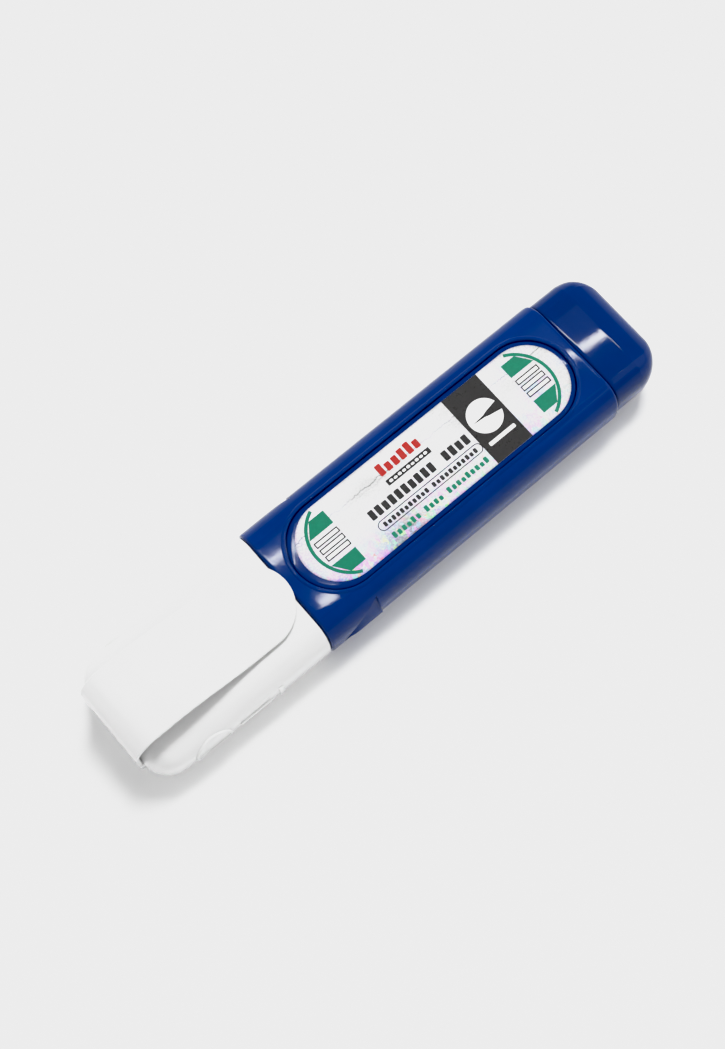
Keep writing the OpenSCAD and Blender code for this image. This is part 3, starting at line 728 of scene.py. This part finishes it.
def root_pad():
    """Block on the nose under the clip's root, with eased edges."""
    b = Build()
    z0, z1 = 5.55, 8.45
    x0, x1 = CLIP_END + 0.02, CLIP_END + 4.5
    half = CLIP_HALF
    loops = []
    for y, k in [(-half, 0.3), (-half + 0.1, 0.12), (-half + 0.3, 0.0), (half - 0.3, 0.0), (half - 0.1, 0.12),
                 (half, 0.3)]:
        r = 0.45
        pts = []
        for cx, cz, a0 in [(x0 + r, z0 + r, 180), (x1, z0 + 0.02, 270), (x1, z1 - 0.02, 0),
                           (x0 + r, z1 - r, 90)]:
            rr = r if cx < x0 + 1 else 0.02
            for i in range(5):
                a = math.radians(a0 + 90 * i / 4)
                pts.append((cx + rr * math.cos(a), y, cz + rr * math.sin(a)))
        mx, mz = (x0 + x1) / 2, (z0 + z1) / 2
        pts = [(mx + (p[0] - mx) * (1 - k / 4), p[1], mz + (p[2] - mz) * (1 - k / 1.5)) for p in pts]
        loops.append(pts)
    b.grid(loops, closed=True)
    b.cap(loops[0])
    b.cap(loops[-1])
    return new_object("cap_root_pad", b.v, b.f, M_CAP, "cap", (), 40)


# ---------------------------------------------------------------- clip
def clip_line(n_blade=70, n_bend=18):
    """Middle line of the blade in side view, from the free end to the root, as (x, z)."""
    t = 0.8
    hinge_x, hinge_z = CLIP_END + t / 2, 8.7
    bend = 5.0
    bend_x = hinge_x + bend
    free_z = MID + BARREL_H / 2 + 0.2 + t / 2
    rise = 3.4
    top = free_z + rise
    pts = []
    for i in range(n_blade + 1):
        u0 = i / n_blade
        u = min(max((u0 - 0.32) / 0.55, 0), 1)
        s = u * u * (3 - 2 * u)
        pts.append((CLIP_TIP + (bend_x - CLIP_TIP) * u0, free_z + rise * s))
    for i in range(1, n_bend + 1):
        a = math.pi / 2 * i / n_bend
        pts.append((bend_x - bend * math.sin(a), top - bend * (1 - math.cos(a))))
    for i in range(1, 7):
        pts.append((hinge_x, top - bend + (hinge_z - top + bend) * i / 6))
    return pts


def clip():
    t = 0.8
    pts = clip_line(110)
    # the free end is half round in plan: stations close together at the tip
    dense = []
    for i in range(26):
        x = CLIP_TIP - CLIP_HALF * (1 - math.cos(math.pi / 2 * i / 26))
        dense.append((x, pts[0][1]))
    pts = dense + [p for p in pts if p[0] < dense[-1][0] - 0.05]
    edge_r = 0.3
    b = Build()
    rows = []
    for i, (x, z) in enumerate(pts):
        a, c = pts[max(i - 1, 0)], pts[min(i + 1, len(pts) - 1)]
        dx, dz = c[0] - a[0], c[1] - a[1]
        n = math.hypot(dx, dz)
        nx, nz = dz / n, -dx / n          # points to the blade's outer face
        s = CLIP_TIP - x
        half = CLIP_HALF
        if s < CLIP_HALF and i <= 40:
            half = max(0.02, math.sqrt(max(0.0, CLIP_HALF**2 - (CLIP_HALF - s) ** 2)))
        thin = 1.0 if s > 1.2 or i > 40 else 0.45 + 0.55 * math.sqrt(max(0.0, min(1.0, s / 1.2)))
        h = t / 2 * thin
        r = min(edge_r, h * 0.9, half * 0.9)
        prof = []
        for cx, cz, a0 in ((half - r, h - r, 90), (half - r, -h + r, 0), (-half + r, -h + r, 270),
                           (-half + r, h - r, 180)):
            for k in range(5):
                ang = math.radians(a0 - 90 * k / 4)
                prof.append((cx + r * math.cos(ang), cz + r * math.sin(ang)))
        row = [(x + nx * w, y, z + nz * w) for y, w in prof]
        rows.append(row)
    b.grid(rows, closed=True)
    b.cap(rows[0])
    b.cap(rows[-1])
    return new_object("clip_blade", b.v, b.f, M_CAP, "clip", ["pocket_clip"], 50)


# ---------------------------------------------------------------- label artwork
def stadium_outline(x0, x1, half, n=40):
    c0, c1 = x0 + half, x1 - half
    pts = [(c0 + half * math.cos(a), half * math.sin(a)) for a in
           (math.pi / 2 + math.pi * i / n for i in range(n + 1))]
    pts += [(c1 + half * math.cos(a), half * math.sin(a)) for a in
            (-math.pi / 2 + math.pi * i / n for i in range(n + 1))]
    return pts


def plate(b, outline, z):
    tris = tessellate_polygon([[Vector((x, y, 0)) for x, y in outline]])
    b.add([(x, y, z) for x, y in outline], [list(t) for t in tris])


def bar(b, x0, x1, y0, y1, z, r=0.3, n=5):
    r = min(r, (x1 - x0) / 2, (y1 - y0) / 2)
    pts = []
    for cx, cy, a0 in ((x1 - r, y1 - r, 0), (x0 + r, y1 - r, 90), (x0 + r, y0 + r, 180),
                       (x1 - r, y0 + r, 270)):
        for i in range(n + 1):
            a = math.radians(a0 + 90 * i / n)
            pts.append((cx + r * math.cos(a), cy + r * math.sin(a)))
    plate(b, pts, z)


def blocks(b, x0, x1, y0, y1, count, z, ratio=0.72, rhythm=(1.0, 0.82, 1.0, 0.9)):
    """A row of upright blocks, where printed words would be."""
    pitch = (x1 - x0) / count
    for i in range(count):
        tall = (y1 - y0) * rhythm[i % len(rhythm)]
        bar(b, x0 + pitch * i, x0 + pitch * (i + ratio), y0, y0 + tall, z, 0.22)


def frame_bar(b, x0, x1, y0, y1, z, line, r):
    """Outline of a rounded bar."""
    def loop(k):
        rr = max(0.02, r - k)
        pts = []
        for cx, cy, a0 in ((x1 - k - rr, y1 - k - rr, 0), (x0 + k + rr, y1 - k - rr, 90),
                           (x0 + k + rr, y0 + k + rr, 180), (x1 - k - rr, y0 + k + rr, 270)):
            for i in range(9):
                a = math.radians(a0 + 90 * i / 8)
                pts.append((cx + rr * math.cos(a), cy + rr * math.sin(a), z))
        return pts
    b.grid([loop(0), loop(line)], closed=True)


def arc_band(b, centre_x, r0, r1, side, half_angle, z, n=48):
    rows = []
    for i in range(n + 1):
        a = half_angle - 2 * half_angle * i / n
        c, s = math.cos(a), math.sin(a)
        rows.append([(centre_x - side * r * c, r * s, z) for r in (r0, r1)])
    b.grid(rows)


def artwork():
    z1, z2, z3 = FILM_Z + 0.012, FILM_Z + 0.022, FILM_Z + 0.032
    green, black, white, red = Build(), Build(), Build(), Build()
    for side, arc_x, chord in ((1, -15.55, -8.4), (-1, 43.3, 36.2)):
        centre = arc_x + side * 8.6
        arc_band(green, centre, 8.6, 7.9, side, math.radians(66), z1)
        x0, x1 = sorted((chord, arc_x + side * 1.2))
        for y0, y1 in ((3.1, 6.2), (-6.2, -3.1)):
            inset = 8.6 - math.sqrt(8.0**2 - max(abs(y0), abs(y1)) ** 2)
            xc = arc_x + side * (8.6 - math.sqrt(8.0**2 - min(abs(y0), abs(y1)) ** 2) + 0.15)
            far = y0 if abs(y0) < abs(y1) else y1
            near = y1 if far == y0 else y0
            plate(green, [(chord, y0), (chord, y1), (arc_x + side * (inset + 0.1), near),
                          (xc, far)] if far == y0 else
                  [(chord, y1), (chord, y0), (arc_x + side * (inset + 0.1), near), (xc, far)], z1)
        for y in (-1.62, 0.0, 1.62):
            xa, xb = sorted((chord - side * 0.05, arc_x + side * 1.5))
            bar(white, xa, xb, y - 0.6, y + 0.6, z1, 0.08)
            frame_bar(black, xa, xb, y - 0.6, y + 0.6, z2, 0.26, 0.1)
    blocks(red, 4.3, 14.6, 4.0, 6.5, 6, z1, 0.74, (1.0, 0.72, 0.76, 0.92))
    bar(black, 4.2, 14.8, 1.75, 3.0, z1, 0.12)
    blocks(white, 4.8, 14.3, 2.1, 2.65, 9, z2)
    blocks(black, -2.6, 13.6, -1.6, 0.5, 10, z1, 0.74, (1.0, 1.0, 0.9, 1.0))
    blocks(black, 15.6, 22.2, -1.6, 0.5, 4, z1, 0.74, (1.0, 1.0, 0.9, 1.0))
    frame_bar(black, -2.8, 22.8, -4.5, -2.3, z1, 0.2, 1.1)
    blocks(black, -1.6, 9.6, -3.95, -2.9, 11, z1, 0.7)
    blocks(black, 10.4, 21.8, -3.95, -2.9, 11, z1, 0.7)
    for x0, x1, count in ((-1.7, 5.2, 6), (6.2, 10.8, 4), (11.8, 22.2, 9)):
        blocks(green, x0, x1, -6.75, -5.45, count, z1, 0.7, (1.0, 0.8, 0.85, 0.7))
    bar(black, 22.7, 31.5, -LABEL_HALF + 0.02, LABEL_HALF - 0.02, z1, 0.02)
    disc = [(27.2 + 3.6 * math.cos(a), 0.7 + 3.6 * math.sin(a)) for a in
            (2 * math.pi * i / 64 for i in range(64))]
    plate(white, disc, z2)
    plate(black, [(30.85, 1.75), (28.0, 1.25), (27.0, 0.95), (24.6, 0.75), (24.6, 0.65), (27.0, 0.45),
                  (28.0, 0.15), (30.85, -0.35)], z3)
    bar(white, 24.0, 30.4, -4.75, -3.95, z2, 0.2)
    for name, b, m, slot in (("front_print_green", green, M_GREEN, "label_film"),
                             ("front_print_black", black, M_BLACK, "label_film"),
                             ("front_print_white", white, M_PAPER, "label_film"),
                             ("front_print_red", red, M_RED, "label_film")):
        new_object(name, b.v, b.f, m, "front_panel", (), 0)
    # back label: plain ruled bars
    z = 2 * MID - z1
    lines = Build()
    for k, (x0, x1) in enumerate(((-8, 36), (-8, 30), (-8, 34), (-8, 24), (-8, 33))):
        bar(lines, x0, x1, 4.6 - 2.2 * k, 5.2 - 2.2 * k, z, 0.2)
    frame_bar(lines, -11.5, 39.5, -6.9, 6.9, z, 0.2, 1.2)
    new_object("back_print", lines.v, lines.f, M_BLACK, "back_panel", (), 0)


def panels_and_labels():
    """Squeeze walls with an eased edge, and the film on each."""
    gap = 0.15
    for side, tag, body in ((1, "front", "front_panel"), (-1, "back", "back_panel")):
        b = Build()
        top, t = BARREL_H / 2 - 0.25, 1.1
        loops = []
        for inset, z in ((0.0, top - t), (0.0, top - 0.35), (0.04, top - 0.2), (0.12, top - 0.08),
                         (0.25, top - 0.02), (0.42, top), (1.0, top)):
            half = WIN_HALF - gap - inset
            loops.append([(x, y, MID + side * z) for x, y in
                          stadium_outline(WIN_X0 + gap + inset, WIN_X1 - gap - inset, half)])
        b.grid(loops, closed=True)
        b.cap(loops[0])
        b.cap(loops[-1])
        new_object(tag + "_wall", b.v, b.f, M_PANEL, body, [tag + "_squeeze_panel"], 50)
        b = Build()
        low, high = top, FILM_Z - MID
        loops = []
        for inset, z in ((0.0, low), (0.0, high - 0.04), (0.02, high - 0.015), (0.06, high), (0.5, high)):
            loops.append([(x, y, MID + side * z) for x, y in
                          stadium_outline(LABEL_X0 + inset, LABEL_X1 - inset, LABEL_HALF - inset)])
        b.grid(loops, closed=True)
        b.cap(loops[0])
        b.cap(loops[-1])
        new_object(tag + "_film", b.v, b.f, M_FILM, body, [tag + "_label"], 50)


# ---------------------------------------------------------------- carried-over CAD nodes
CAD_LOOKS = {
    "bottle_neck": M_NAVY, "front_collar": M_COLLAR, "tip_holder": M_WHITE, "neck_gasket": M_RUBBER,
    "spring_seat": M_NATURAL, "metal_tip": M_TIP, "tip_seal": M_RUBBER, "valve_needle": M_STEEL,
    "needle_collar": M_NATURAL, "valve_spring": M_STEEL, "mixing_ball": M_BALL, "cap_inner_seal": M_SEAL,
}

sleeve()
bottle()
cap()
cap_marks()
root_pad()
clip()
panels_and_labels()
artwork()
for name, look in CAD_LOOKS.items():
    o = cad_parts[name]
    o.data.materials.clear()
    o.data.materials.append(look)


# ---------------------------------------------------------------- stage, lights, camera
def stage():
    b = Build()
    s = 6000.0
    b.add([(-s, -s, 0), (s, -s, 0), (s, s, 0), (-s, s, 0)], [[0, 1, 2, 3]])
    me = bpy.data.meshes.new("floor")
    me.from_pydata([(x * MM, y * MM, z * MM) for x, y, z in b.v], [], b.f)
    o = bpy.data.objects.new("floor", me)
    bpy.context.scene.collection.objects.link(o)
    m = mat("paper", (0.90, 0.90, 0.90), 0.95, spec=0.1)
    shader = m.node_tree.nodes["Principled BSDF"]
    shader.inputs["Emission Color"].default_value = (1, 1, 1, 1)
    # a lit sweep: the floor keeps its brightness away from the lamps
    away = node(m, "ShaderNodeVectorMath", operation="LENGTH")
    link(m, node(m, "ShaderNodeTexCoord").outputs["Object"], away.inputs[0])
    link(m, mapped(m, away.outputs["Value"], 0.30, 1.30, 0.05, 1.25), shader.inputs["Emission Strength"])
    me.materials.append(m)


def area_light(name, at, look, size, size_y, radiance, spin=0.0):
    d = bpy.data.lights.new(name, "AREA")
    d.shape = "RECTANGLE"
    d.size, d.size_y = size, size_y
    d.energy = radiance * math.pi * size * size_y
    o = bpy.data.objects.new(name, d)
    bpy.context.scene.collection.objects.link(o)
    way = (Vector(look) - Vector(at)).normalized()
    q = way.to_track_quat("-Z", "Y")
    o.matrix_world = Matrix.Translation(at) @ q.to_matrix().to_4x4() @ Matrix.Rotation(spin, 4, "Z")
    return o


stage()
world = bpy.data.worlds.new("world")
bpy.context.scene.world = world
world.use_nodes = True
world.node_tree.nodes["Background"].inputs["Color"].default_value = (1, 1, 1, 1)
sky = node(world, "ShaderNodeSeparateXYZ")
link(world, node(world, "ShaderNodeTexCoord").outputs["Generated"], sky.inputs["Vector"])
# pale near the horizon, dim above, so that the gloss is not washed out
link(world, mapped(world, sky.outputs["Z"], 0.16, 0.34, 1.30, 0.22),
     world.node_tree.nodes["Background"].inputs["Strength"])


def softbox(name, azimuth, elevation, radiance, size=0.8, distance=1.1):
    a, e = math.radians(azimuth), math.radians(elevation)
    at = (distance * math.cos(e) * math.cos(a), distance * math.cos(e) * math.sin(a), distance * math.sin(e))
    return area_light(name, at, (0, 0, 0), size, size, radiance)


key = softbox("key", 40, 65, 29.0, size=0.36)
key.visible_glossy = False    # it lights and casts the short shadow, but is not mirrored in the plastic
softbox("left_back", 132, 40, 0.9)
softbox("right_front", -22, 40, 1.3)
softbox("left_front", 222, 40, 0.9)
area_light("ceiling", (0.26, 0.212, 0.85), (0.26, 0.212, 0), 0.6, 0.03, 0.9)
area_light("tube", (0.2455, 0.1905, 0.8), (0.2455, 0.1905, 0), 0.5, 0.006, 100.0, math.radians(-4.5))
area_light("lamp_near", (0.352, -0.012, 0.8), (0.352, -0.012, 0), 0.066, 0.02, 72.0)
area_light("lamp_front", (0.112, 0.158, 0.8), (0.112, 0.158, 0), 0.013, 0.008, 90.0)

cam = bpy.data.cameras.new("camera")
cam.sensor_width = 36.0
cam.sensor_fit = "AUTO"
cam.lens = 1669.0 * 36.0 / 1049.0
cam.clip_start = 0.01
cam.clip_end = 10.0
eye = bpy.data.objects.new("camera", cam)
bpy.context.scene.collection.objects.link(eye)
fwd = Vector((0.20433, 0.22195, -0.95341)).normalized()
up = Vector((0.6183, 0.7258, 0.3015))
right = fwd.cross(up).normalized()
up = right.cross(fwd).normalized()
eye.matrix_world = Matrix.Translation((-0.067928, -0.069532, 0.310689)) @ Matrix(
    (right, up, -fwd)).transposed().to_4x4()
bpy.context.scene.camera = eye


def tone():
    """Bright, contrasty exposure: paper whites level off, as in a catalogue picture."""
    view = bpy.context.scene.view_settings
    view.view_transform = "Standard"
    view.use_curve_mapping = True
    cm = view.curve_mapping
    cm.black_level = (0.008,) * 3
    cm.white_level = (2.0,) * 3
    cm.extend = "HORIZONTAL"
    curve = cm.curves[3]
    stops = [(0.0, 0.0), (0.1, 0.2), (0.2, 0.4), (0.3, 0.59), (0.38, 0.71), (0.46, 0.79), (0.54, 0.83),
             (0.62, 0.8385), (0.8, 0.8388), (1.0, 0.8388)]
    curve.points[0].location = stops[0]
    curve.points[1].location = stops[-1]
    for x, y in stops[1:-1]:
        curve.points.new(x, y)
    cm.update()


tone()

bpy.context.view_layer.update()
